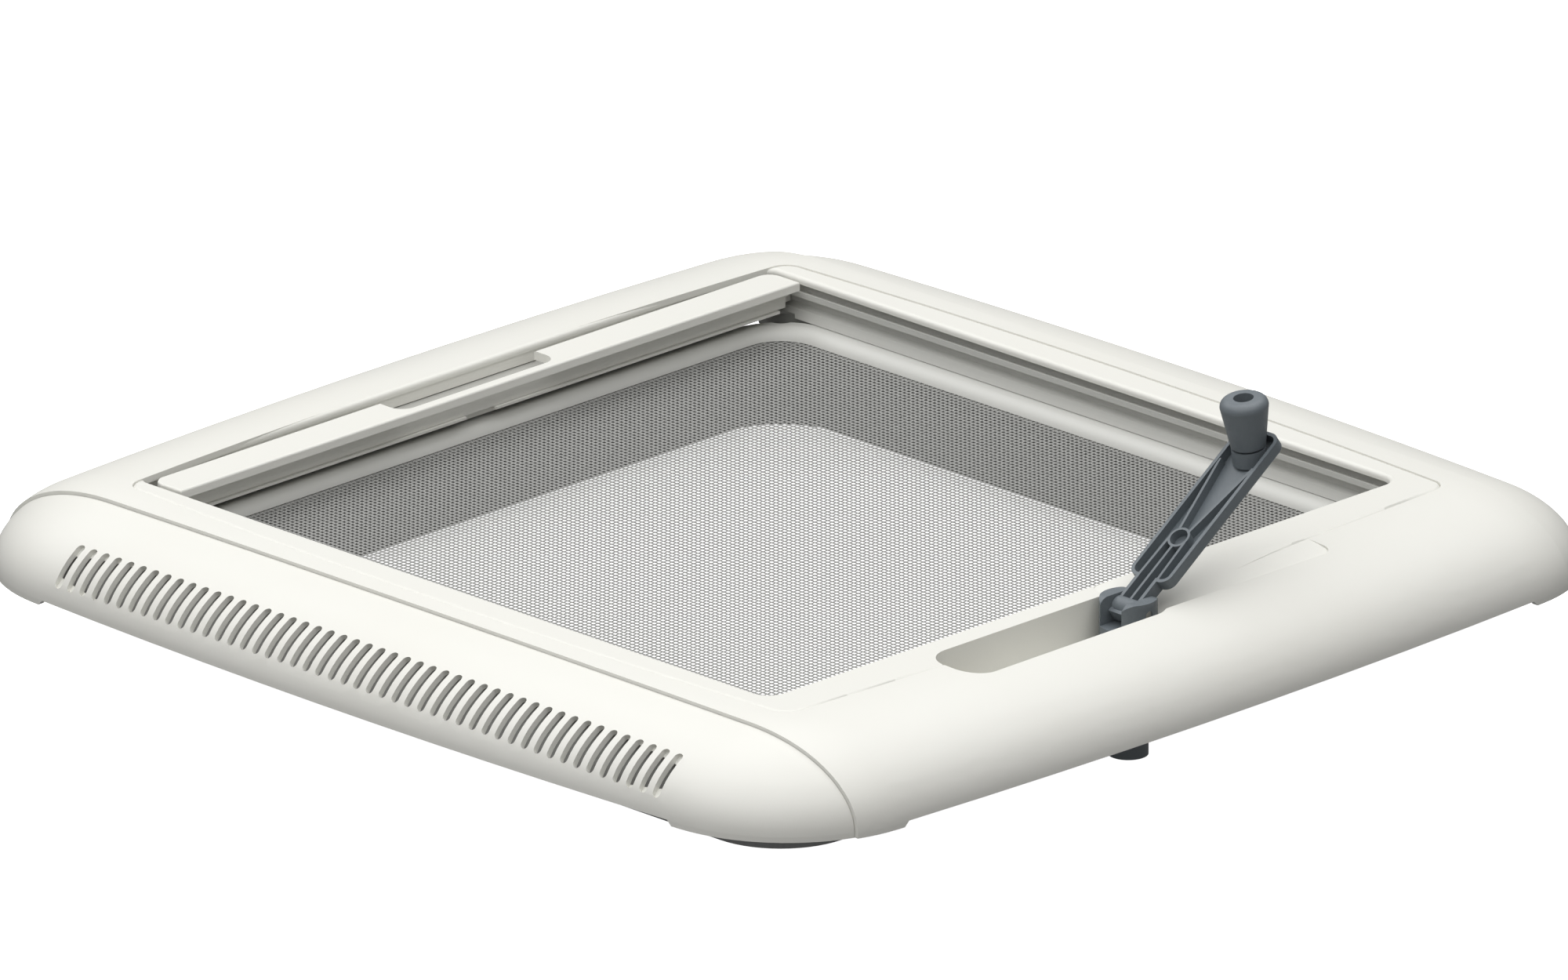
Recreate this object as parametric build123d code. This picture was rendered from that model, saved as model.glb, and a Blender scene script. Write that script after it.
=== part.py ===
from build123d import *
import math
import os

os.makedirs("parts", exist_ok=True)

# ---- driving dimensions (mm) -------------------------------------------------------------
# The collar's rim rests on z = 0 and the room-side face looks up.
TOP = 68.0                # room-side face of the trim frame
WALL = 3.0                # moulded wall
HALF = 266.0              # middle of each side of the outline
SIDE_R = 3240.0           # bow of each side
CORNER_R = 70.0           # outline corner
ROLL_A = 61.0             # horizontal half axis of the rounded flank
ROLL_B = 34.0             # vertical half axis of the rounded flank
FOOT = 2.4                # the corners stand this much lower than the sides
FOOT_FROM = 188.0         # a corner foot starts here
SEAM = 214.0              # the vent panels start outside this plane
SEAM_GAP = 0.3
PANEL_INSET = 1.6         # the vent panels lie this much under the frame's skin
OPEN_X = 189.0            # half width of the opening
OPEN_BACK = 202.5         # opening edge over the blind cassette
OPEN_FRONT = -178.3       # opening edge on the crank side
OPEN_R = 8.0
LIP_R = 2.0               # rounded lip of the opening
OFF_Y = 3.5               # the collar and the screen are centred here
RING_IN = 179.5           # screen frame, half of its clear width
RING_OUT = 189.8
RING_TOP = TOP - 19.5
RING_BOTTOM = TOP - 28.0
MESH_Z = TOP - 25.0
LINER_IN = 184.0
LINER_WALL = 1.8
LINER_BOTTOM = 5.0
COLLAR_OUT = 196.0
COLLAR_R = 36.0
FLANGE_OUT = 206.0
SLOT_PITCH = 7.65
SLOT_COUNT = 48
SLOT_W = 4.1
CRANK_Y = -204.0          # crank axis
HUB_R = 12.4
HOUSING_R = 8.7
PIN_Z = TOP - 3.0         # hinge pin of the folding arm
PIN_R = 2.0
RUN = 0.05                # radial clearance of a running fit
ARM_RISE = 35.0           # the arm stands open at this angle
ARM_W = 23.0
ARM_T = 6.0
NECK_W = 12.0
RIB = 1.2
KNOB_TILT = -8.0
KNOB_R_FOOT = 7.6
KNOB_R_TOP = 10.4
KNOB_LENGTH = 23.4
ROLLER_Y = 221.0          # roller axis of the blind
ROLLER_Z = TOP - 17.3
ROLLER_R = 6.0
ROLL_R = 8.4              # tube with the whole cloth on it
BAR_Y0 = 178.0            # parked pull bar
BAR_Y1 = 196.6
BAR_X = 186.0
GAP = 0.3                 # room between parts that move against each other
HOLE_OFF = 184.5          # fixing holes, from the middle of the collar each way
HOLE_R = 2.3
SCREW_HOLE_R = 1.1
FRONT_WALL_X = 199.0      # wall that hangs from the opening's crank side
SKIRT_X = 188.0           # short skirt in front of the blind cassette
CLEAR = 9.0               # how far a cutting shape runs past what it cuts
COUNTERBORE_R = 6.0


def save(shape, node, parts_of_it=1):
    """Write one node, a single solid or a group of separate solids."""
    solids = shape.solids()
    if len(solids) != parts_of_it:
        print("SOLIDS", node, len(solids), "expected", parts_of_it)
    body = solids[0] if len(solids) == 1 else Compound(children=list(solids))
    export_step(body, f"parts/{node}.step")
    box = body.bounding_box()
    print(f"{node:24s} {len(solids)} {box.min.X:.1f} {box.min.Y:.1f} {box.min.Z:.1f}"
          f" {box.max.X:.1f} {box.max.Y:.1f} {box.max.Z:.1f}")


def block(x0, x1, y0, y1, z0, z1):
    """Box between two corners."""
    return Pos((x0 + x1) / 2, (y0 + y1) / 2, (z0 + z1) / 2) * Box(x1 - x0, y1 - y0, z1 - z0)


def prism(half_x, half_y, radius, z0, z1, x=0.0, y=0.0):
    """Upright prism with rounded corners."""
    face = RectangleRounded(2 * half_x, 2 * half_y, radius)
    return extrude(Pos(x, y, z0) * face, z1 - z0)


def tube(r_out, r_in, length):
    """Ring standing on the origin."""
    ring = Circle(r_out) - Circle(r_in)
    return extrude(ring, length)


def rod(radius, length):
    """Cylinder standing on the origin."""
    return extrude(Circle(radius), length)


# ---- outline: four bowed sides joined by tangent corner arcs -----------------------------
BOW = SIDE_R - HALF
CORNER_C = (-BOW + math.sqrt(2 * (SIDE_R - CORNER_R) ** 2 - BOW ** 2)) / 2
SIDE_TURN = math.degrees(math.atan2(CORNER_C, BOW + CORNER_C))


def outline_face(inset):
    """Flat face inside the outline, a given distance in from it."""
    arcs = []
    for quarter in range(4):
        turn = Rot(0, 0, 90 * quarter)
        side = CenterArc((-BOW, 0), SIDE_R - inset, -SIDE_TURN, 2 * SIDE_TURN)
        corner = CenterArc((CORNER_C, CORNER_C), CORNER_R - inset, SIDE_TURN, 90 - 2 * SIDE_TURN)
        arcs += [turn * side, turn * corner]
    return make_face(Wire(arcs))


def flank(radius, inset, thickness):
    """Closed section of a flank wall, standing in the XZ plane."""
    centre = (radius - ROLL_A, TOP - ROLL_B)
    a_out, b_out = ROLL_A - inset, ROLL_B - inset
    a_in, b_in = a_out - thickness, b_out - thickness
    outer = EllipticalCenterArc(centre, a_out, b_out, start_angle=0, arc_size=90)
    inner = EllipticalCenterArc(centre, a_in, b_in, start_angle=0, arc_size=90)
    foot = Line((centre[0] + a_in, centre[1]), (centre[0] + a_out, centre[1]))
    head = Line((centre[0], centre[1] + b_in), (centre[0], centre[1] + b_out))
    return make_face(Wire([outer, head, inner, foot]))


def pillow(inset, thickness, opened=False):
    """Shell that follows the outline, with a rounded flank and a flat top."""
    whole = extrude(Pos(0, 0, TOP - inset - thickness) * outline_face(ROLL_A), thickness)
    if opened:
        whole -= prism(OPEN_X, (OPEN_BACK - OPEN_FRONT) / 2, OPEN_R, 0, TOP + 9,
                       0, (OPEN_BACK + OPEN_FRONT) / 2)
        lip = [e for e in whole.edges().filter_by_position(Axis.Z, TOP - 0.01, TOP + 0.01)
               if max(abs(e.center().X), abs(e.center().Y)) < OPEN_BACK + 1]
        whole = fillet(lip, LIP_R)
    for quarter in range(4):
        turn = Rot(0, 0, 90 * quarter)
        for centre, radius, start, sweep in (
                ((-BOW, 0), SIDE_R, -SIDE_TURN, 2 * SIDE_TURN),
                ((CORNER_C, CORNER_C), CORNER_R, SIDE_TURN, 90 - 2 * SIDE_TURN)):
            section = Rot(90, 0, 0) * flank(radius, inset, thickness)
            piece = revolve(Rot(0, 0, start) * section, Axis.Z, sweep)
            whole += turn * Pos(*centre) * piece
    return whole


def feet(inset):
    """The rim's four corner feet, with sloping ends."""
    ring = outline_face(inset) - outline_face(inset + WALL)
    ring = extrude(Pos(0, 0, TOP - ROLL_B - FOOT) * ring, FOOT)
    low, high = TOP - ROLL_B - FOOT, TOP - ROLL_B
    wedge = Polyline((FOOT_FROM + FOOT, low), (HALF, low), (HALF, high), (FOOT_FROM, high), close=True)
    along_x = extrude(Rot(90, 0, 0) * make_face(wedge), HALF, both=True)
    along_y = Rot(0, 0, 90) * along_x
    corner = along_x & along_y
    return ring & (corner + mirror(corner, Plane.YZ) + mirror(corner, Plane.XZ)
                   + mirror(mirror(corner, Plane.YZ), Plane.XZ))


def both_sides(shape):
    """A shape and its mirror image across the middle plane."""
    return shape + mirror(shape, Plane.YZ)


# ---- trim frame: shell, opening, crank recess --------------------------------------------
RECESS_LEFT = -109.5
RECESS_RIGHT = 13.5
RECESS_NEAR = -221.0
RECESS_FAR = -190.5
RECESS_R = 13.0           # upright corners of the recess
RECESS_WALL = 2.0
POCKET_RIGHT = -72.0      # the knob's deeper end of the recess stops here
POCKET_FLOOR = TOP - 31.5
HUB_FLOOR = TOP - 24.0
SKIN_LOW = TOP - 2.4      # walls hung under the skin start inside its thickness
DISH_LEFT = 15.0          # the scoop's upper edge starts here, at the opening
DISH_RIGHT = 109.0
DISH_NEAR = -219.0
DISH_FAR = -180.0
DISH_TURN = 14.0          # that edge slants by this angle
DISH_R = 78.0             # roll of the scoop's floor
DISH_LEAN = 6.0           # the roll's axis lies this far outside that edge
DISH_CORNER = 6.0
HOUSING_SCREW_R = 10.9


def between(x0, x1, y0, y1, radius, z0, z1):
    """Upright prism with rounded corners between two corners of its plan."""
    return prism((x1 - x0) / 2, (y1 - y0) / 2, radius, z0, z1, (x0 + x1) / 2, (y0 + y1) / 2)


def recess_well(grow, floor_drop):
    """The crank's recess: a trough for the arm and the hub, and a deeper pocket for the knob."""
    left, right = RECESS_LEFT - grow, RECESS_RIGHT + grow
    near, far = RECESS_NEAR - grow, RECESS_FAR + grow
    top = TOP + CLEAR
    trough = between(left, right, near, far, RECESS_R + grow, HUB_FLOOR - floor_drop, top)
    pocket = between(left, POCKET_RIGHT + grow, near, far, RECESS_R + grow, POCKET_FLOOR - floor_drop, top)
    return trough + pocket


def dish(grow, floor_drop):
    """The scoop beside the hub: its floor rolls down from a slanting line on the flat top."""
    length, width = DISH_RIGHT - DISH_LEFT, DISH_FAR - DISH_NEAR
    at_line = Pos(DISH_LEFT, DISH_FAR, TOP - floor_drop) * Rot(0, 0, -DISH_TURN)
    above = block(-length, 2 * length, -2 * width, 0, -width, CLEAR)
    floor = Pos(-length, DISH_LEAN, -math.sqrt(DISH_R ** 2 - DISH_LEAN ** 2)) * Rot(0, 90, 0) * rod(
        DISH_R, 3 * length)
    near = DISH_NEAR - grow
    far = DISH_FAR + grow
    plan = between(0, DISH_RIGHT + grow, near, far, DISH_CORNER + grow, 0, TOP + CLEAR)
    return (at_line * (above - floor)) & plan


shell = pillow(0, WALL, opened=True) + feet(0)
frame = shell & block(-SEAM, SEAM, -HALF - 9, HALF + 9, 0, TOP + 9)
under = TOP - WALL
frame += block(-FRONT_WALL_X, FRONT_WALL_X, OPEN_FRONT - 2.4, OPEN_FRONT, RING_TOP + GAP, under)
frame += block(-SKIRT_X, SKIRT_X, OPEN_BACK + 0.4, OPEN_BACK + 2.2, TOP - 8.0, under)
over_skin = block(-HALF, HALF, -HALF, HALF, SKIN_LOW, TOP + 2 * CLEAR)
frame += (recess_well(RECESS_WALL, RECESS_WALL) + dish(RECESS_WALL, RECESS_WALL)) - over_skin
frame -= recess_well(0, 0)
frame -= dish(0, 0)
frame -= Pos(0, CRANK_Y, HUB_FLOOR - CLEAR) * rod(HOUSING_R - 2.4, 2 * CLEAR)
housing_screw_at = [(HOUSING_SCREW_R * math.cos(math.radians(a)), HOUSING_SCREW_R * math.sin(math.radians(a)))
                    for a in (60, 180, 300)]
for x, y in housing_screw_at:
    frame -= Pos(x, CRANK_Y + y, HUB_FLOOR - CLEAR) * rod(SCREW_HOLE_R, 2 * CLEAR)
save(frame, "trim_frame")

# ---- vent panels with their slots and baffles --------------------------------------------
slot_low = (HALF - 3.0, TOP - 21.0)
slot_high = (HALF - 19.0, TOP - 6.0)
slot_rise = math.degrees(math.atan2(slot_high[1] - slot_low[1], slot_low[0] - slot_high[0]))
slot_length = math.dist(slot_low, slot_high)
slot_centre = ((slot_low[0] + slot_high[0]) / 2, (slot_low[1] + slot_high[1]) / 2)
slot = extrude(SlotOverall(slot_length, SLOT_W), 9, both=True)
slots = []
for number in range(SLOT_COUNT):
    y = (number - (SLOT_COUNT - 1) / 2) * SLOT_PITCH
    slots.append(Pos(slot_centre[0], y, slot_centre[1]) * Rot(0, slot_rise, 0) * slot)
panel = (pillow(PANEL_INSET, WALL) + feet(PANEL_INSET)) & block(
    SEAM + SEAM_GAP, HALF + 9, -HALF - 9, HALF + 9, 0, TOP + 9)
tab = block(SEAM - 9, SEAM + 3, -9, 9, TOP - 7.4, TOP - 5.0) + block(
    SEAM + SEAM_GAP, SEAM + 3, -9, 9, TOP - 7.4, TOP - 4.2)
for y in (-180, -90, 0, 90, 180):
    panel += Pos(0, y, 0) * tab
panel -= slots
baffle = Pos(slot_centre[0] - 8.5, 0, slot_centre[1] - 8.5) * Rot(0, slot_rise, 0) * Box(22, 372, 1.2)
save(panel, "vent_panel_right")
save(mirror(panel, Plane.YZ), "vent_panel_left")
save(baffle, "vent_baffle_right")
save(mirror(baffle, Plane.YZ), "vent_baffle_left")

# ---- guide rails along both sides of the opening -----------------------------------------
RAIL_X0 = OPEN_X - 0.4
RAIL_X1 = 203.0
RAIL_Y0 = OPEN_FRONT + GAP
RAIL_Y1 = 208.0
CHANNEL = 4.5
BLIND_LOW, BLIND_HIGH = TOP - 13.6, TOP - 8.9
SLIT_LOW, SLIT_HIGH = TOP - 6.5, TOP - 3.0
SLIT_FLOOR = TOP - 7.8
RAIL_LIP = 1.2
rail_face = Polyline(
    (RAIL_X0 + CHANNEL, SLIT_HIGH - 0.02), (RAIL_X0 + CHANNEL, SLIT_FLOOR),
    (RAIL_X0 + RAIL_LIP, SLIT_FLOOR), (RAIL_X0 + RAIL_LIP, SLIT_LOW), (RAIL_X0, SLIT_LOW),
    (RAIL_X0, BLIND_HIGH), (RAIL_X0 + CHANNEL, BLIND_HIGH), (RAIL_X0 + CHANNEL, BLIND_LOW),
    (RAIL_X0 + 2.0, BLIND_LOW - 1.5), (RAIL_X0, RING_TOP + GAP), (RING_OUT + 1.0, RING_TOP + GAP),
    (RING_OUT + 1.0, RING_BOTTOM), (RAIL_X1, RING_BOTTOM), (RAIL_X1, SLIT_HIGH - 0.02), close=True)
rail = Pos(0, RAIL_Y1, 0) * extrude(Rot(90, 0, 0) * make_face(rail_face), RAIL_Y1 - RAIL_Y0)
fixing_spots = [(x, OFF_Y + y) for x in (-HOLE_OFF, HOLE_OFF) for y in (-HOLE_OFF, HOLE_OFF)]
rail_screw_y = (-120.0, 0.0, 120.0)
RAIL_SCREW_X = RAIL_X1 - 3.8
for x, y in fixing_spots:
    rail -= Pos(x, y, RING_BOTTOM - 1) * rod(COUNTERBORE_R, BLIND_LOW - 3 - RING_BOTTOM)
rail -= block(RAIL_X0, RAIL_X1, 190, RAIL_Y1, TOP - 3.8, TOP)
for y in rail_screw_y:
    rail -= Pos(RAIL_SCREW_X, y, RING_BOTTOM - 0.5) * rod(1.2, 12)
save(rail, "guide_rail_right")
save(mirror(rail, Plane.YZ), "guide_rail_left")

# ---- insect screen: frame, mesh, spline --------------------------------------------------
RING_BEAD = 7.0
RING_IN_R = 17.7
MESH_T = 0.5
ring = prism(RING_OUT, RING_OUT, RING_IN_R + RING_OUT - RING_IN, RING_BOTTOM, RING_TOP, 0, OFF_Y)
ring -= prism(RING_IN, RING_IN, RING_IN_R, RING_BOTTOM - 1, RING_TOP + 1, 0, OFF_Y)
inner_top = [e for e in ring.edges().filter_by_position(Axis.Z, RING_TOP - 0.01, RING_TOP + 0.01)
             if max(abs(e.center().X), abs(e.center().Y - OFF_Y)) < RING_IN + 0.1]
ring = fillet(inner_top, RING_BEAD)
for x, y in fixing_spots:
    ring -= Pos(x, y, RING_BOTTOM - 1) * rod(COUNTERBORE_R, 12)
groove_in, groove_out = RING_IN + 2.4, RING_IN + 5.2
groove = prism(groove_out, groove_out, RING_IN_R + 5.2, RING_BOTTOM - 1, RING_BOTTOM + 2.2, 0, OFF_Y)
groove -= prism(groove_in, groove_in, RING_IN_R + 2.4, RING_BOTTOM - 2, RING_BOTTOM + 3, 0, OFF_Y)
mesh_out = RING_IN + 2.2
mesh = prism(mesh_out, mesh_out, RING_IN_R + 2.2, MESH_Z - MESH_T / 2, MESH_Z + MESH_T / 2, 0, OFF_Y)
ring -= prism(mesh_out + 0.05, mesh_out + 0.05, RING_IN_R + 2.25, MESH_Z - 0.3, MESH_Z + 0.3, 0, OFF_Y)
ring -= groove
spline = prism(groove_out - 0.1, groove_out - 0.1, RING_IN_R + 5.1, RING_BOTTOM + 0.1,
               RING_BOTTOM + 2.1, 0, OFF_Y)
spline -= prism(groove_in + 0.1, groove_in + 0.1, RING_IN_R + 2.5, RING_BOTTOM - 2, RING_BOTTOM + 3, 0, OFF_Y)
save(ring, "screen_frame")
save(mesh, "screen_mesh")
save(spline, "screen_spline")

# ---- roof collar and the liner inside it -------------------------------------------------
FLANGE_TOP = RING_BOTTOM - 0.1
FLANGE_T = 3.0
RIM_LAND = 1.0            # the collar's rim is bevelled inside down to this width
RIM_BEVEL = 4.2
LINER_SEAT = LINER_IN + 4.0
SEAT_R = 18.0
RELIEF_LOW = FLANGE_TOP - FLANGE_T - CLEAR
case_screw_x = (-150.0, -50.0, 50.0, 150.0)
CASE_SCREW_Y = 212.0      # the cassette's screws pass through lugs on the collar's flange
collar = prism(COLLAR_OUT, COLLAR_OUT, COLLAR_R, 0, FLANGE_TOP, 0, OFF_Y)
collar += prism(FLANGE_OUT, FLANGE_OUT, COLLAR_R, FLANGE_TOP - FLANGE_T, FLANGE_TOP, 0, OFF_Y)
collar -= prism(COLLAR_OUT - WALL, COLLAR_OUT - WALL, COLLAR_R - WALL, -1, FLANGE_TOP - FLANGE_T, 0, OFF_Y)
collar -= prism(LINER_SEAT, LINER_SEAT, SEAT_R, -1, FLANGE_TOP + 1, 0, OFF_Y)
bevel = Pos(0, OFF_Y, 0) * RectangleRounded(
    2 * (COLLAR_OUT - RIM_LAND), 2 * (COLLAR_OUT - RIM_LAND), COLLAR_R - RIM_LAND)
collar -= extrude(bevel, RIM_BEVEL, taper=math.degrees(math.atan2(WALL - RIM_LAND, RIM_BEVEL)))
for x, y in fixing_spots:
    collar -= Pos(x, y, RELIEF_LOW) * rod(HOLE_R, CLEAR + FLANGE_T + 1)
    collar -= Pos(x, y, RELIEF_LOW) * rod(HOLE_R + 1.2, CLEAR)
for x in case_screw_x:
    collar += block(x - 6, x + 6, FLANGE_OUT, CASE_SCREW_Y + 5, FLANGE_TOP - FLANGE_T, FLANGE_TOP)
    collar -= Pos(x, CASE_SCREW_Y, 0) * rod(1.5, FLANGE_TOP + 1)
collar -= recess_well(2.4, 2.4)
collar -= Pos(0, CRANK_Y, 0) * rod(HOUSING_R + 5.4, TOP)
for side in (-1, 1):
    for y in rail_screw_y:
        collar -= Pos(side * RAIL_SCREW_X, y, 0) * rod(1.7, FLANGE_TOP + 1)
save(collar, "roof_collar")

LINER_R = 9.0
liner_half = LINER_IN + LINER_WALL
liner = prism(liner_half, liner_half, LINER_R + LINER_WALL, LINER_BOTTOM, FLANGE_TOP, 0, OFF_Y)
liner += prism(LINER_SEAT - GAP, LINER_SEAT - GAP, SEAT_R - GAP, FLANGE_TOP - FLANGE_T, FLANGE_TOP, 0, OFF_Y)
liner -= prism(LINER_IN, LINER_IN, LINER_R, 0, TOP, 0, OFF_Y)
for x, y in fixing_spots:
    liner -= Pos(x, y, RELIEF_LOW) * rod(HOLE_R + 1.0, TOP)
save(liner, "reveal_liner")

# ---- screws: a pan head with a cross recess on a plain shank -----------------------------


def screw(head_r, head_t, shank_r, length):
    """Screw along Z, the underside of its head at z = 0 and the shank below it."""
    head = rod(head_r, head_t)
    head = fillet(head.edges().sort_by(Axis.Z)[-1], head_t * 0.45)
    arm = Box(head_r * 1.1, head_r * 0.22, head_t)
    head -= Pos(0, 0, head_t) * (arm + Rot(0, 0, 90) * arm)
    return head + Pos(0, 0, -length) * rod(shank_r, length)


rail_screw = Rot(180, 0, 0) * screw(2.6, 1.8, 1.2, 11.0)
rail_screws = [Pos(side * RAIL_SCREW_X, y, FLANGE_TOP - FLANGE_T) * rail_screw
               for side in (-1, 1) for y in rail_screw_y]
save(Compound(children=rail_screws), "rail_screws", len(rail_screws))

# ---- blind cassette, brackets and roller -------------------------------------------------
CASE_X = 197.0
CASE_Y0 = 205.0
CASE_Y1 = 233.0
CASE_TOP = TOP - 6.6
CASE_BOTTOM = RING_BOTTOM
CASE_T = 1.6
CASE_R = 8.0
MOUTH_LOW, MOUTH_HIGH = TOP - 15.5, TOP - 8.0
case = block(-CASE_X, CASE_X, CASE_Y0, CASE_Y1, CASE_BOTTOM, CASE_TOP)
case = fillet(case.edges().filter_by(Axis.X), CASE_R)
inside_floor = CASE_BOTTOM + CASE_T
inside_roof = CASE_TOP - CASE_T
inside = block(-CASE_X - 1, CASE_X + 1, CASE_Y0 + CASE_T, CASE_Y1 - CASE_T, inside_floor, inside_roof)
case -= fillet(inside.edges().filter_by(Axis.X), CASE_R - CASE_T)
case -= block(-CASE_X - 1, CASE_X + 1, CASE_Y0 - 1, CASE_Y0 + CASE_R, MOUTH_LOW, MOUTH_HIGH)
case -= both_sides(block(RAIL_X0 - 0.5, CASE_X + 1, CASE_Y0 - 1, RAIL_Y1 + GAP, 0, TOP))
for x in case_screw_x:
    case -= Pos(x, CASE_SCREW_Y, 0) * rod(1.2, TOP)
save(case, "blind_cassette")
case_screw = Rot(180, 0, 0) * screw(2.4, 1.6, 1.2, FLANGE_T + CASE_T)
case_screws = [Pos(x, CASE_SCREW_Y, FLANGE_TOP - FLANGE_T) * case_screw for x in case_screw_x]
save(Compound(children=case_screws), "cassette_screws", len(case_screws))

BRACKET_T = 3.0
ROLLER_X = 183.0
bracket = block(ROLLER_X + 1.0, ROLLER_X + 1.0 + BRACKET_T, RAIL_Y1 + 1.0, CASE_Y1 - CASE_T - 0.2,
                CASE_BOTTOM + CASE_T + 0.1, CASE_TOP - CASE_T - 0.1)
bracket = fillet(bracket.edges().filter_by(Axis.X), CASE_R - CASE_T)
bracket_right = bracket - Pos(ROLLER_X, ROLLER_Y, ROLLER_Z) * Rot(0, 90, 0) * rod(2.5, 9)
bracket_left = mirror(bracket_right, Plane.YZ)
save(bracket_right, "roller_bracket_right")
save(bracket_left, "roller_bracket_left")

ROLLER_WALL = 1.0
roller = tube(ROLLER_R, ROLLER_R - ROLLER_WALL, 2 * ROLLER_X)
roller = Pos(-ROLLER_X, ROLLER_Y, ROLLER_Z) * Rot(0, 90, 0) * roller
save(roller, "roller_tube")
CLOTH_X = 181.0
roll = Pos(-CLOTH_X, ROLLER_Y, ROLLER_Z) * Rot(0, 90, 0) * tube(ROLL_R, ROLLER_R + 0.02, 2 * CLOTH_X)
save(roll, "blackout_roll")
PLUG_LENGTH = 14.0
plug = rod(ROLLER_R - ROLLER_WALL, PLUG_LENGTH)
idle_pin = Pos(ROLLER_X - PLUG_LENGTH, ROLLER_Y, ROLLER_Z) * Rot(0, 90, 0) * (
    plug - rod(2.0 + RUN, PLUG_LENGTH))
save(idle_pin, "idle_plug")
pin = Pos(ROLLER_X - PLUG_LENGTH + 1, ROLLER_Y, ROLLER_Z) * Rot(0, 90, 0) * (
    rod(2.0, PLUG_LENGTH) + Pos(0, 0, PLUG_LENGTH) * rod(2.5, BRACKET_T))
save(pin, "idle_pin")
spring_plug = Pos(-ROLLER_X, ROLLER_Y, ROLLER_Z) * Rot(0, 90, 0) * (plug - rod(2.5 + RUN, PLUG_LENGTH))
save(spring_plug, "spring_plug")
ROD_LENGTH = 190.0
spring_rod = Pos(-ROLLER_X - 1.0 - BRACKET_T, ROLLER_Y, ROLLER_Z) * Rot(0, 90, 0) * rod(2.5, ROD_LENGTH)
save(spring_rod, "spring_rod")
SPRING_R = 4.0
spring_turns = 34
coil = Helix(pitch=4.0, height=4.0 * spring_turns, radius=SPRING_R)
wire = sweep(Plane(origin=coil @ 0, z_dir=coil % 0) * Circle(0.6), coil)
spring = Pos(-ROLLER_X + PLUG_LENGTH + 3, ROLLER_Y, ROLLER_Z) * Rot(0, 90, 0) * wire
save(spring, "roller_spring")
anchor = Pos(-ROLLER_X + PLUG_LENGTH + 4 + 4.0 * spring_turns, ROLLER_Y, ROLLER_Z) * Rot(0, 90, 0) * (
    rod(ROLLER_R - ROLLER_WALL, 6) - rod(2.5 + RUN, 6))
save(anchor, "spring_anchor")

# ---- pull bar, glides, cloth clamp and the free end of the cloth -------------------------
BAR_TOP = TOP - 0.5
BAR_RIB_Y0 = 186.0
BAR_RIB_Y1 = 189.5
GRIP_Y = 182.4            # the finger notch cuts the plate back to here
GRIP_LEFT = -50.0
GRIP_RIGHT = 43.5
bar = block(-BAR_X, BAR_X, BAR_Y0, BAR_Y1, BAR_TOP - 4.0, BAR_TOP)
corners = [e for e in bar.edges().filter_by(Axis.Z) if e.center().Y > BAR_Y0 + 1]
bar = fillet(corners, 7.0)
bar = fillet(bar.edges().filter_by_position(Axis.Z, BAR_TOP - 0.01, BAR_TOP + 0.01), 1.0)
bar -= between(GRIP_LEFT, GRIP_RIGHT, GRIP_Y, BAR_Y1 + CLEAR, 7.0, BAR_TOP - CLEAR, BAR_TOP + CLEAR)
bar += block(-187.4, 187.4, BAR_RIB_Y0, BAR_RIB_Y1, TOP - 14.0, BAR_TOP - 3.9)
bar -= both_sides(block(185.2, 188, BAR_RIB_Y0 - 1, BAR_RIB_Y1 + 1, TOP - 14.5, TOP - 9.0))
clamp_screw_x = (-160.0, -80.0, 0.0, 80.0, 160.0)
CLAMP_Z = TOP - 12.0
CLAMP_X = 180.6
for x in clamp_screw_x:
    bar -= Pos(x, BAR_RIB_Y0 + 1.2, CLAMP_Z) * Rot(-90, 0, 0) * rod(0.9, 9)
save(bar, "pull_bar")
glide = block(181.0, 192.6, BAR_RIB_Y1 + 0.02, BAR_RIB_Y1 + 9, TOP - 13.3, TOP - 9.3)
glide = fillet(glide.edges().filter_by(Axis.Z), 1.2)
save(glide, "bar_glide_right")
save(mirror(glide, Plane.YZ), "bar_glide_left")
strip = block(-CLAMP_X, CLAMP_X, BAR_RIB_Y1 + 0.52, BAR_RIB_Y1 + 2.2, TOP - 18.0, TOP - 9.0)
strip += both_sides(block(9.0, CLAMP_X, BAR_RIB_Y0 - 1.4, BAR_RIB_Y1 + 2.2, TOP - 15.3, TOP - 14.2))
for x in clamp_screw_x:
    strip -= Pos(x, BAR_RIB_Y1, CLAMP_Z) * Rot(-90, 0, 0) * rod(1.0, 9)
save(strip, "cloth_clamp")
clamp_screw = Rot(-90, 0, 0) * screw(1.9, 1.2, 0.9, 3.4)
clamp_screws = [Pos(x, BAR_RIB_Y1 + 2.2, CLAMP_Z) * clamp_screw for x in clamp_screw_x]
save(Compound(children=clamp_screws), "clamp_screws", len(clamp_screws))
CLOTH_T = 0.4
LEAD_Z = TOP - 8.8
lead_line = [(BAR_RIB_Y1 + 0.05, TOP - 13.5), (BAR_RIB_Y1 + 0.45, TOP - 13.5),
             (BAR_RIB_Y1 + 0.45, LEAD_Z), (ROLLER_Y - 2, LEAD_Z),
             (ROLLER_Y - 2, LEAD_Z + CLOTH_T), (BAR_RIB_Y1 + 0.05, LEAD_Z + CLOTH_T)]
lead = extrude(Plane.YZ * make_face(Polyline(lead_line, close=True)), 172, both=True)
for x in clamp_screw_x:
    lead -= Pos(x, BAR_RIB_Y1 - 1, CLAMP_Z) * Rot(-90, 0, 0) * rod(1.0, 4)
save(lead, "blackout_lead")

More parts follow.
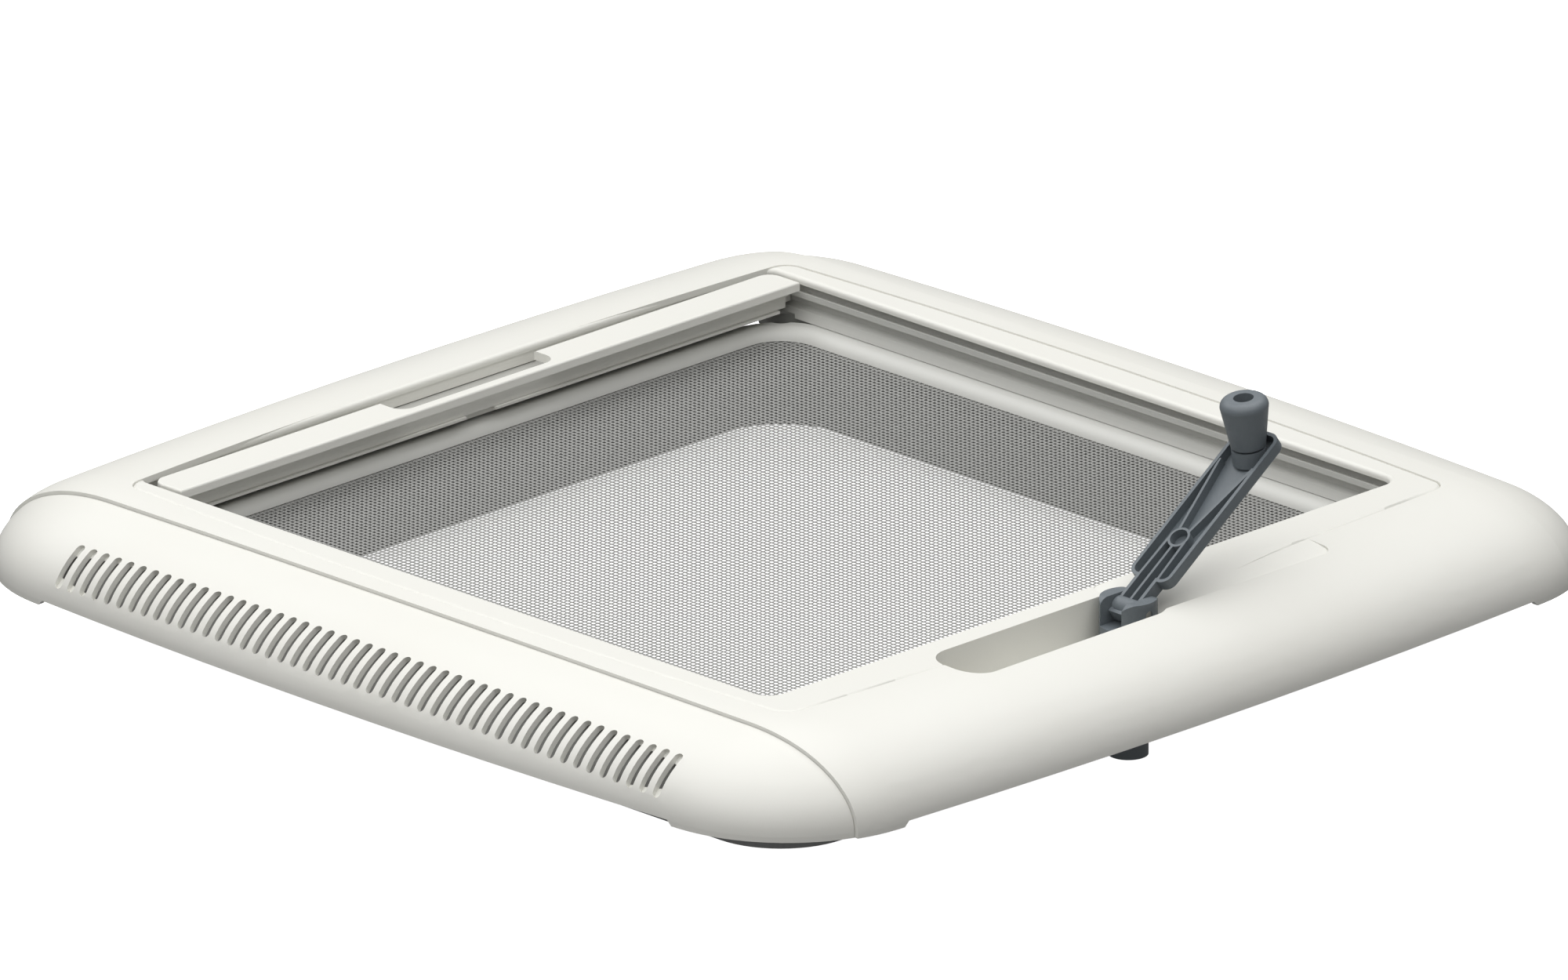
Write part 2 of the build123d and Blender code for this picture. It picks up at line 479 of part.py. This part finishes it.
# ---- crank: housing, spindle, hub ---------------------------------------------------------
SPINDLE_R = 4.6
HUB_BOTTOM = HUB_FLOOR + 1.0
SLOT_FLOOR = PIN_Z - 6.6
SLOT_HALF = NECK_W / 2 + GAP
SCREW_SEAT = HUB_FLOOR - 5.05     # the housing's screws sit here, in its flange
at_crank = Pos(0, CRANK_Y, 0)
housing = rod(HOUSING_R, HUB_FLOOR - 2.05)
housing += Pos(0, 0, SCREW_SEAT - 1.3) * rod(13.4, 4.3)
housing -= rod(SPINDLE_R + RUN, TOP)
housing -= rod(7.3, 4.0)
for x, y in housing_screw_at:
    housing -= Pos(x, y, 0) * rod(SCREW_HOLE_R, TOP)
    housing -= Pos(x, y, SCREW_SEAT - 1.3) * rod(2.1, 1.3)
save(at_crank * housing, "spindle_housing")
housing_screw = Rot(180, 0, 0) * screw(2.0, 1.2, SCREW_HOLE_R, 4.8)
housing_screws = [at_crank * Pos(x, y, SCREW_SEAT) * housing_screw for x, y in housing_screw_at]
save(Compound(children=housing_screws), "housing_screws", len(housing_screws))
washer = at_crank * Pos(0, 0, HUB_FLOOR) * tube(HUB_R - 0.2, 6.6, 0.95)
save(washer, "friction_washer")
spindle = rod(SPINDLE_R, SLOT_FLOOR - 2.4)
hexagon = extrude(RegularPolygon(3.2, 6), 11)
spindle -= hexagon
spindle -= Pos(0, 0, 2.0) * tube(SPINDLE_R + 1, SPINDLE_R - 0.8, 1.0)
spindle -= Pos(0, 0, SLOT_FLOOR - 14) * rod(1.5, 14)
save(at_crank * spindle, "drive_spindle")
clip = tube(6.8, SPINDLE_R - 0.75, 0.9) - block(0, 8, -1.6, 1.6, -1, 2)
save(at_crank * Pos(0, 0, 2.05) * clip, "retaining_clip")
hub = Pos(0, 0, HUB_BOTTOM) * rod(HUB_R, TOP + 9 - HUB_BOTTOM)
ear = Pos(0, 0, PIN_Z) * Rot(90, 0, 0) * extrude(SlotOverall(23, 11), HUB_R, both=True)
hub &= ear + block(-HUB_R, HUB_R, -HUB_R, HUB_R, 0, TOP - 1.2)
hub -= block(-HUB_R - 1, HUB_R + 1, -SLOT_HALF, SLOT_HALF, SLOT_FLOOR, TOP + 9)
hub -= rod(SPINDLE_R, SLOT_FLOOR - 2.4)
hub -= Pos(0, 0, SLOT_FLOOR - 2.4) * rod(1.6, 9)
hub -= Pos(0, 0, SLOT_FLOOR - 1.7) * rod(3.0, 9)
hub -= Pos(0, 0, PIN_Z) * Rot(90, 0, 0) * extrude(Circle(PIN_R), HUB_R + 1, both=True)
save(at_crank * hub, "crank_hub")
save(at_crank * Pos(0, 0, SLOT_FLOOR - 1.7) * screw(2.8, 1.5, 1.5, 9), "spindle_screw")
pin_reach = 11.8
save(at_crank * Pos(0, 0, PIN_Z) * Rot(90, 0, 0) * extrude(Circle(PIN_R), pin_reach, both=True), "hinge_pin")

# ---- crank arm: a ribbed trough, built flat and then set at its rise ----------------------
ARM_BACK = -ARM_T / 2
KNOB_S = 90.0             # knob axis, along the arm from the pin
SHOULDER = 15.0
HEEL = 5.4                # the arm's heel behind the pin
FOOT_LIFT = 2.8           # the knob's foot over the middle of the blade
EDGE = 1.6
SKIN = 1.5
RING_S = 38.7


def arm_outline(inset):
    """Plan of the arm: a neck at the hinge, a wide blade and a round end."""
    blade_x0, blade_x1 = SHOULDER + inset, KNOB_S + 10.0 - inset
    blade = Pos((blade_x0 + blade_x1) / 2, 0) * RectangleRounded(
        blade_x1 - blade_x0, ARM_W - 2 * inset, 5.0 - inset)
    neck_x0, neck_x1 = inset - HEEL, SHOULDER + 2.0
    neck = Pos((neck_x0 + neck_x1) / 2, 0) * Rectangle(neck_x1 - neck_x0, NECK_W - 2 * inset)
    return blade + neck


arm = extrude(Pos(0, 0, ARM_BACK) * arm_outline(0), ARM_T)
blade_back = [e for e in arm.edges().filter_by_position(Axis.Z, ARM_BACK - 0.01, ARM_BACK + 0.01)
              if e.center().X > SHOULDER + 2]
arm = fillet(blade_back, 1.4)
hollow = extrude(Pos(0, 0, ARM_BACK + SKIN) * arm_outline(EDGE), ARM_T)


def rib(x0, y0, x1, y1):
    """One upright rib between two points of the arm's plan."""
    length = math.dist((x0, y0), (x1, y1))
    turn = math.degrees(math.atan2(y1 - y0, x1 - x0))
    return Pos((x0 + x1) / 2, (y0 + y1) / 2, 0) * Rot(0, 0, turn) * Box(length, RIB, ARM_T - 0.6)


ribs = Pos(RING_S, 0, ARM_BACK + 0.3) * tube(5.2, 4.1, ARM_T - 0.6)
ribs += rib(RING_S - 4.6, 0, -4.0, 0)
for side in (-1, 1):
    ribs += rib(RING_S - 1.5, side * 4.6, SHOULDER, side * (NECK_W / 2 - 0.6))
    ribs += rib(RING_S + 4.0, side * 2.8, KNOB_S - 9.0, side * 9.6)
arm = arm - hollow + (ribs & hollow)
KNUCKLE_R = 4.4
arm += Rot(90, 0, 0) * extrude(Circle(KNUCKLE_R), NECK_W / 2, both=True)
arm -= Rot(90, 0, 0) * extrude(Circle(PIN_R + RUN), NECK_W, both=True)
knob_axis = Pos(KNOB_S, 0, FOOT_LIFT) * Rot(0, KNOB_TILT + ARM_RISE, 0)
BOSS_R = 7.5
boss = Pos(0, 0, -7.0) * rod(BOSS_R, 7.0)
arm += (knob_axis * boss) & Pos(0, 0, TOP / 2 + ARM_BACK) * Box(999, 99, TOP)
arm -= knob_axis * Pos(0, 0, -4.5) * rod(1.6, 9)
arm -= knob_axis * Pos(0, 0, 12.2) * Cone(8.2, 11.0, 24)
in_place = Pos(0, CRANK_Y, PIN_Z) * Rot(0, -ARM_RISE, 0)
save(in_place * arm, "crank_arm")

# ---- knob on its sleeve -------------------------------------------------------------------
SLEEVE_R = 3.4
RECESS_FLOOR = 13.8
knob_outline = [(0, 0.6), (KNOB_R_FOOT - 0.6, 0.6), (KNOB_R_FOOT, 1.2), (KNOB_R_TOP, KNOB_LENGTH - 4.4)]
rim = ThreePointArc(knob_outline[-1], (KNOB_R_TOP - 0.9, KNOB_LENGTH - 1.1), (KNOB_R_TOP - 3.6, KNOB_LENGTH))
knob_face = make_face(Polyline(knob_outline).edges() + rim.edges() + Polyline(
    rim @ 1, (0, KNOB_LENGTH), (0, 0.6)).edges())
knob = revolve(Rot(90, 0, 0) * knob_face, Axis.Z)
knob -= rod(SLEEVE_R + RUN, 40)
knob -= Pos(0, 0, RECESS_FLOOR) * rod(4.4, 20)
on_arm = in_place * knob_axis
save(on_arm * knob, "crank_knob")
save(on_arm * Pos(0, 0, 0.02) * tube(SLEEVE_R, 1.65, RECESS_FLOOR + 0.16), "knob_sleeve")
save(on_arm * Pos(0, 0, RECESS_FLOOR + 0.2) * tube(4.1, 1.65, 0.6), "knob_washer")
save(on_arm * Pos(0, 0, RECESS_FLOOR + 0.8) * screw(3.6, 2.2, 1.6, RECESS_FLOOR + 0.8 + 4.3), "knob_screw")
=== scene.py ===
import math

import bpy
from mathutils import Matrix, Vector


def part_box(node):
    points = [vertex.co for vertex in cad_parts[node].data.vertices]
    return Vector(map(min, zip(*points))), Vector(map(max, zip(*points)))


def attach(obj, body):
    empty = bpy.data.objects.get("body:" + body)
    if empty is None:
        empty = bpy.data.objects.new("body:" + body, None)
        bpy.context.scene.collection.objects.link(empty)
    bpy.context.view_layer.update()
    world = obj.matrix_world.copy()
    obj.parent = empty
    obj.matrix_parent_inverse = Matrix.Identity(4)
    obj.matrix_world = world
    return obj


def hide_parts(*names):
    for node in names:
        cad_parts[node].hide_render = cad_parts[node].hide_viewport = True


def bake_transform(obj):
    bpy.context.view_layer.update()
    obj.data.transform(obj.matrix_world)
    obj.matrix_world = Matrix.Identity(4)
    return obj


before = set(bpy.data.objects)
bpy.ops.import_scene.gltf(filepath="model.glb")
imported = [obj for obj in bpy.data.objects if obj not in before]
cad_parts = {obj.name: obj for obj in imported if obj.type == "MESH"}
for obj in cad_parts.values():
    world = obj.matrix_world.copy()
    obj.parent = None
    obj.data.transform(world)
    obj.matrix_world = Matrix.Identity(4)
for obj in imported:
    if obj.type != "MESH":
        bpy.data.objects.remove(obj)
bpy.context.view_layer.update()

# Trim frame, vent panels, pull bar and cloth clamp: injection-moulded ABS in warm white, with a
# fine satin texture, faint flow marks and a little dust in the texture.
class Value:
    """A shader socket, with operators that add Math nodes."""

    def __init__(self, paint, socket):
        self.paint = paint
        self.socket = socket

    def _math(self, operation, a, b=0.0):
        return self.paint.node("ShaderNodeMath", {"operation": operation}, {0: a, 1: b})

    def __add__(self, other):
        return self._math("ADD", self, other)

    def __sub__(self, other):
        return self._math("SUBTRACT", self, other)

    def __rsub__(self, other):
        return self._math("SUBTRACT", other, self)

    def __mul__(self, other):
        return self._math("MULTIPLY", self, other)

    __radd__ = __add__
    __rmul__ = __mul__


class Paint:
    """A Principled material that makes any other node by its type."""

    def __init__(self, name, colour, roughness, metallic=0.0):
        self.material = bpy.data.materials.new(name)
        self.material.use_nodes = True
        self.tree = self.material.node_tree
        self.shader = self.tree.nodes["Principled BSDF"]
        self.shader.inputs["Base Color"].default_value = (*colour, 1)
        self.shader.inputs["Roughness"].default_value = roughness
        self.shader.inputs["Metallic"].default_value = metallic
        self.colour = colour

    def node(self, kind, settings=None, inputs=None, output=0):
        made = self.tree.nodes.new(kind)
        for key, value in (settings or {}).items():
            setattr(made, key, value)
        for key, value in (inputs or {}).items():
            self.join(value, made.inputs[key])
        return Value(self, made.outputs[output])

    def join(self, value, socket):
        if isinstance(value, Value):
            self.tree.links.new(value.socket, socket)
        else:
            socket.default_value = value

    def place(self, stretch=(1, 1, 1)):
        at = self.node("ShaderNodeTexCoord", output="Object")
        return self.node("ShaderNodeMapping", {}, {"Vector": at, "Scale": stretch})

    def noise(self, size, detail=3.0, stretch=(1, 1, 1), rough=0.55):
        return self.node("ShaderNodeTexNoise", {}, {
            "Vector": self.place(stretch), "Scale": 1 / size, "Detail": detail, "Roughness": rough})

    def spread(self, value, low, high, to_low, to_high):
        return self.node("ShaderNodeMapRange", {}, {
            "Value": value, "From Min": low, "From Max": high, "To Min": to_low, "To Max": to_high})

    def blend(self, factor, a, b):
        return self.node("ShaderNodeMix", {"data_type": "RGBA"}, {0: factor, 6: (*a, 1), 7: (*b, 1)}, 2)

    def tint(self, factor, other):
        self.join(self.blend(factor, self.colour, other), self.shader.inputs["Base Color"])

    def rough(self, value):
        self.join(value, self.shader.inputs["Roughness"])

    def relief(self, height, depth, strength=1.0):
        bump = self.node("ShaderNodeBump", {}, {"Height": height, "Distance": depth, "Strength": strength})
        self.join(bump, self.shader.inputs["Normal"])

    def on(self, *nodes):
        for name in nodes:
            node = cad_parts[name]
            node.data.materials.clear()
            node.data.materials.append(self.material)


abs_white = Paint("white_abs", (0.75, 0.745, 0.70), 0.42)
grain = abs_white.noise(0.0006, 2)
cloud = abs_white.noise(0.09, 4)
abs_white.tint(abs_white.spread(cloud, 0.4, 0.75, 0.0, 0.35), (0.715, 0.705, 0.65))
abs_white.rough(abs_white.spread(grain, 0.3, 0.7, 0.36, 0.5) + abs_white.spread(cloud, 0.3, 0.7, -0.03, 0.05))
abs_white.relief(grain, 0.00004, 0.35)
abs_white.shader.inputs["Specular IOR Level"].default_value = 0.4
abs_white.on("trim_frame", "vent_panel_left", "vent_panel_right", "pull_bar", "cloth_clamp")

# Screen frame: the same ABS, with painted shade that makes it a greyer white than the trim frame;
# its wall below the screen is painted darker still as painted shade, down to the grey liner.
# Painted shade: the base colour is a greyer white than the trim frame's ABS.
bead_white_painted_shade = Paint("bead_white_painted_shade", (0.60, 0.60, 0.57), 0.45)
pores = bead_white_painted_shade.noise(0.0007, 2)
# Painted shade: the wall below the screen level is tinted dark grey.
low_wall = bead_white_painted_shade.node("ShaderNodeSeparateXYZ", {}, {"Vector": bead_white_painted_shade.place()}, 2)
screen_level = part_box("screen_mesh")[0][2]
painted_shade_below_screen = bead_white_painted_shade.spread(low_wall, screen_level - 0.001, screen_level, 1.0, 0.0)
bead_white_painted_shade.tint(painted_shade_below_screen, (0.27, 0.27, 0.255))
bead_white_painted_shade.rough(bead_white_painted_shade.spread(pores, 0.3, 0.7, 0.38, 0.52))
bead_white_painted_shade.relief(pores, 0.00004, 0.35)
bead_white_painted_shade.on("screen_frame")

# Guide rails and blind cassette: extruded light grey PVC, with fine lines along the extrusion
# and slightly polished ribs where the glides run.
rail_grey = Paint("rail_pvc", (0.54, 0.54, 0.51), 0.4)
lines = rail_grey.noise(0.0012, 3, (1, 0.02, 1))
rail_grey.tint(rail_grey.spread(lines, 0.35, 0.7, 0.0, 0.4), (0.47, 0.47, 0.445))
rail_grey.rough(rail_grey.spread(lines, 0.3, 0.7, 0.34, 0.5))
rail_grey.relief(lines, 0.00005, 0.4)
rail_grey.on("guide_rail_left", "guide_rail_right", "blind_cassette")

# Vent baffles: a light grey moulded liner behind the slots, matt and a little dusty.
baffle_grey = Paint("baffle_grey", (0.27, 0.27, 0.26), 0.6)
dust = baffle_grey.noise(0.012, 5)
baffle_grey.tint(baffle_grey.spread(dust, 0.4, 0.7, 0.0, 0.5), (0.27, 0.265, 0.25))
baffle_grey.rough(baffle_grey.spread(dust, 0.3, 0.7, 0.5, 0.75))
baffle_grey.relief(baffle_grey.noise(0.0009), 0.00006, 0.4)
baffle_grey.on("vent_baffle_left", "vent_baffle_right")

# Collar and liner under the frame: moulded dark grey polypropylene, with faint vertical draw
# marks from the mould.
collar_grey = Paint("collar_grey", (0.25, 0.255, 0.255), 0.5)
draw = collar_grey.noise(0.002, 3, (1, 1, 0.03))
collar_grey.tint(collar_grey.spread(draw, 0.35, 0.7, 0.0, 0.5), (0.32, 0.325, 0.32))
collar_grey.rough(collar_grey.spread(draw, 0.3, 0.7, 0.42, 0.6))
collar_grey.relief(draw, 0.00006, 0.4)
collar_grey.on("roof_collar")
liner_grey = Paint("liner_grey", (0.21, 0.21, 0.197), 0.55)
film = liner_grey.noise(0.02, 4, (1, 1, 0.4))
liner_grey.tint(liner_grey.spread(film, 0.4, 0.7, 0.0, 0.6), (0.235, 0.23, 0.215))
liner_grey.rough(liner_grey.spread(film, 0.3, 0.7, 0.45, 0.65))
liner_grey.relief(liner_grey.noise(0.0008), 0.00005, 0.3)
liner_grey.on("reveal_liner")

# Crank: hub, arm, knob and spindle housing in glass-filled nylon, slate grey with a fine
# spark-eroded texture, worn a little smoother and paler where hands hold it.
slate = Paint("slate_nylon", (0.128, 0.148, 0.163), 0.46)
spark = slate.noise(0.00045, 2)
wear = slate.noise(0.02, 4)
fibre = slate.noise(0.0014, 3, (1, 1, 0.5))
rubbed = slate.spread(wear, 0.45, 0.75, 0.0, 0.35) + slate.spread(fibre, 0.55, 0.8, 0.0, 0.18)
slate.tint(rubbed, (0.185, 0.208, 0.225))
slate.rough(slate.spread(spark, 0.3, 0.7, 0.38, 0.58) - slate.spread(wear, 0.5, 0.8, 0.0, 0.08))
slate.relief(spark, 0.00006, 0.5)
slate.on("crank_hub", "crank_arm", "crank_knob", "spindle_housing")

# Steel: zinc-plated screws and pins, turned spindle and clips, with fine turning marks and a
# mottled plated surface.
steel = Paint("plated_steel", (0.56, 0.56, 0.55), 0.3, 1.0)
mottle = steel.noise(0.003, 4)
turning = steel.noise(0.0004, 2, (1, 1, 6))
steel.tint(steel.spread(mottle, 0.4, 0.7, 0.0, 0.5), (0.42, 0.41, 0.39))
steel.rough(steel.spread(turning, 0.3, 0.7, 0.22, 0.42) + steel.spread(mottle, 0.4, 0.7, 0.0, 0.1))
steel.relief(turning, 0.00001, 0.3)
steel.on("rail_screws", "cassette_screws", "housing_screws", "clamp_screws", "knob_screw", "knob_washer",
         "spindle_screw", "hinge_pin", "drive_spindle", "retaining_clip", "knob_sleeve", "idle_pin",
         "spring_rod", "roller_spring")

# Acetal glides, plugs, brackets and the friction washer: natural white, waxy and slightly
# translucent-looking, with a soft satin finish.
acetal = Paint("acetal", (0.74, 0.735, 0.70), 0.35)
flow = acetal.noise(0.006, 3)
acetal.tint(acetal.spread(flow, 0.4, 0.7, 0.0, 0.4), (0.66, 0.65, 0.60))
acetal.rough(acetal.spread(flow, 0.3, 0.7, 0.28, 0.45))
acetal.relief(flow, 0.00003, 0.3)
acetal.on("bar_glide_left", "bar_glide_right", "idle_plug", "spring_plug", "spring_anchor",
          "roller_bracket_left", "roller_bracket_right", "friction_washer")

# Roller tube: drawn aluminium with long die lines.
tube_metal = Paint("drawn_aluminium", (0.70, 0.70, 0.71), 0.32, 1.0)
die = tube_metal.noise(0.0008, 3, (0.02, 1, 1))
tube_metal.tint(tube_metal.spread(die, 0.4, 0.7, 0.0, 0.4), (0.58, 0.58, 0.59))
tube_metal.rough(tube_metal.spread(die, 0.3, 0.7, 0.25, 0.45))
tube_metal.relief(die, 0.00002, 0.4)
tube_metal.on("roller_tube")

# Screen spline: black rubber cord pressed into the screen frame's groove.
rubber = Paint("spline_rubber", (0.03, 0.03, 0.03), 0.7)
bloom = rubber.noise(0.004, 4)
rubber.tint(rubber.spread(bloom, 0.45, 0.75, 0.0, 0.5), (0.07, 0.07, 0.068))
rubber.rough(rubber.spread(bloom, 0.3, 0.7, 0.6, 0.8))
rubber.relief(bloom, 0.00005, 0.4)
rubber.on("screen_spline")

# Blackout cloth: silver-grey coated polyester in a fine plain weave, wound on the roller
# and drawn out by the pull bar as one flat sheet.
cloth = Paint("blackout_cloth", (0.43, 0.43, 0.40), 0.75)
weave_pitch = 0.0008
warp = cloth.node("ShaderNodeTexWave", {"bands_direction": "X", "wave_profile": "SIN"}, {
    "Vector": cloth.place(), "Scale": 0.314 / weave_pitch, "Distortion": 0.4})
weft = cloth.node("ShaderNodeTexWave", {"bands_direction": "Y", "wave_profile": "SIN"}, {
    "Vector": cloth.place(), "Scale": 0.314 / weave_pitch, "Distortion": 0.4})
slub = cloth.noise(0.01, 4, (0.1, 1, 1))
between_yarns = cloth.spread(warp * weft, 0.0, 1.0, 0.45, 0.0) + cloth.spread(slub, 0.45, 0.75, 0.0, 0.2)
cloth.tint(between_yarns, (0.36, 0.355, 0.33))
cloth.rough(cloth.spread(slub, 0.3, 0.7, 0.68, 0.85))
cloth.relief(warp * weft, 0.0001, 0.5)
cloth.shader.inputs["Sheen Weight"].default_value = 0.2
cloth.on("blackout_roll", "blackout_lead")
(low_x, low_y, low_z), (high_x, high_y, high_z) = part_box("blackout_lead")
cloth_t = 0.0004
bpy.ops.object.select_all(action="DESELECT")
bpy.ops.mesh.primitive_grid_add(x_subdivisions=24, y_subdivisions=60, size=1,
                                location=((low_x + high_x) / 2, (low_y + high_y) / 2, high_z - cloth_t))
drawn_cloth = bpy.context.active_object
drawn_cloth.name = "drawn_cloth"
drawn_cloth.scale = (high_x - low_x, high_y - low_y, 1)
bpy.ops.object.transform_apply(location=True, rotation=True, scale=True)
thicken = drawn_cloth.modifiers.new("thicken", "SOLIDIFY")
thicken.thickness = cloth_t * 0.8
thicken.offset = 1
bpy.ops.object.modifier_apply(modifier="thicken")
bpy.ops.object.shade_smooth_by_angle(angle=math.radians(30))
drawn_cloth.data.materials.append(cloth.material)
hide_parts("blackout_lead")
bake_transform(drawn_cloth)

# Insect screen: coated glass-fibre threads crossing at right angles, pulled tight in the
# screen frame. Every thread is modelled, so that light and the view pass between them.
screen_paint = Paint("screen_thread", (0.27, 0.27, 0.26), 0.6)
fuzz = screen_paint.noise(0.0015, 3)
screen_paint.tint(screen_paint.spread(fuzz, 0.4, 0.7, 0.0, 0.6), (0.36, 0.36, 0.345))
screen_paint.rough(screen_paint.spread(fuzz, 0.3, 0.7, 0.5, 0.7))
screen_paint.relief(fuzz, 0.00005, 0.4)
(low_x, low_y, low_z), (high_x, high_y, high_z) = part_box("screen_mesh")
screen_mid = Vector(((low_x + high_x) / 2, (low_y + high_y) / 2, (low_z + high_z) / 2))
screen_half = (high_x - low_x) / 2
screen_corner = 0.0199
screen_straight = screen_half - screen_corner
thread_pitch = 0.0026
thread_height = 0.00032
thread_flat = 0.55
thread_lift = 0.00008
thread_end_gap = 0.0002
thread_count = int(2 * screen_half / thread_pitch) - 1
quarter = math.pi / 2
bpy.ops.object.select_all(action="DESELECT")
bpy.ops.mesh.primitive_cylinder_add(vertices=6, radius=1, depth=2)
one_thread = bpy.context.active_object
bpy.ops.object.mode_set(mode="EDIT")
bpy.ops.mesh.select_all(action="DESELECT")
bpy.ops.object.mode_set(mode="OBJECT")
for vertex in one_thread.data.vertices:
    vertex.select = abs(vertex.co.x) > 0.1
bpy.ops.object.mode_set(mode="EDIT")
bpy.ops.transform.resize(value=(2 / math.sqrt(3), thread_flat / 0.5, 1), center_override=(0, 0, 0))
bpy.ops.object.mode_set(mode="OBJECT")
threads = []
for number in range(thread_count):
    offset = (number - (thread_count - 1) / 2) * thread_pitch
    past = max(abs(offset) - screen_straight, 0)
    reach = screen_straight + math.sqrt(max(screen_corner ** 2 - past ** 2, 0)) - thread_end_gap
    for width, turn, shift in ((0.00086, (0, quarter, 0), (0, offset, thread_lift)),
                               (0.0013, (quarter, quarter, 0), (offset, 0, -thread_lift))):
        thread = bpy.data.objects.new("thread", one_thread.data.copy())
        thread.location = screen_mid + Vector(shift)
        thread.rotation_euler = turn
        thread.scale = (thread_height / 2, width / 2, reach)
        bpy.context.collection.objects.link(thread)
        threads.append(thread)
bpy.data.objects.remove(one_thread)
for thread in threads:
    thread.select_set(True)
bpy.context.view_layer.objects.active = threads[0]
bpy.ops.object.join()
bpy.ops.object.transform_apply(location=True, rotation=True, scale=True)
screen_threads = bpy.context.active_object
screen_threads.name = "screen_threads"
screen_threads.data.materials.append(screen_paint.material)
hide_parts("screen_mesh")
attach(screen_threads, "frame")

# Camera: a parallel-looking long lens, from over the corner between the crank side and the
# left vent panel, 20 degrees above the level of the frame.
room_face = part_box("trim_frame")[1][2]
view_rise = math.radians(20)
view_width = 0.6667
view_distance = 18.0
level = math.cos(view_rise) / math.sqrt(2)
look = Vector((level, level, -math.sin(view_rise)))
right = Vector((1, -1, 0)).normalized()
up = right.cross(look)
target = Vector((0, 0, room_face)) - right * 0.00113 - up * 0.00207
lens = bpy.data.cameras.new("camera")
lens.sensor_width = 36
lens.lens = 36 * view_distance / view_width
lens.clip_end = 60
camera = bpy.data.objects.new("camera", lens)
camera.location = target - look * view_distance
camera.rotation_euler = look.to_track_quat("-Z", "Y").to_euler()
bpy.context.collection.objects.link(camera)
bpy.context.scene.camera = camera

# Floor and light: a white studio table that only the camera sees lit, one large soft light
# over the frame, a weaker one from the left, and a dim sky.
bpy.ops.object.select_all(action="DESELECT")
bpy.ops.mesh.primitive_plane_add(size=12, location=(0, 0, -0.0005))
bpy.ops.object.transform_apply(location=True, rotation=True, scale=True)
floor = bpy.context.active_object
floor.name = "floor"
floor_white = bpy.data.materials.new("floor_white")
floor_white.use_nodes = True
floor_shader = floor_white.node_tree.nodes["Principled BSDF"]
floor_shader.inputs["Base Color"].default_value = (1, 1, 1, 1)
floor_shader.inputs["Emission Color"].default_value = (1, 1, 1, 1)
floor_shader.inputs["Emission Strength"].default_value = 1.0
floor.data.materials.append(floor_white)
floor.visible_diffuse = False
floor.visible_glossy = False
world = bpy.data.worlds.new("studio")
world.use_nodes = True
world.node_tree.nodes["Background"].inputs["Color"].default_value = (1, 1, 1, 1)
world.node_tree.nodes["Background"].inputs["Strength"].default_value = 0.2
bpy.context.scene.world = world
for name, power, size, place in (("softbox", 73, 3.6, (-0.1, 0.1, 1.7)),
                                 ("fill", 4, 1.2, (-1.6, -0.8, 0.9))):
    light = bpy.data.lights.new(name, "AREA")
    light.energy = power
    light.size = size
    lamp = bpy.data.objects.new(name, light)
    lamp.location = place
    lamp.rotation_euler = (Vector((0, 0, 0.03)) - Vector(place)).to_track_quat("-Z", "Y").to_euler()
    bpy.context.collection.objects.link(lamp)
bpy.context.scene.view_settings.view_transform = "Standard"
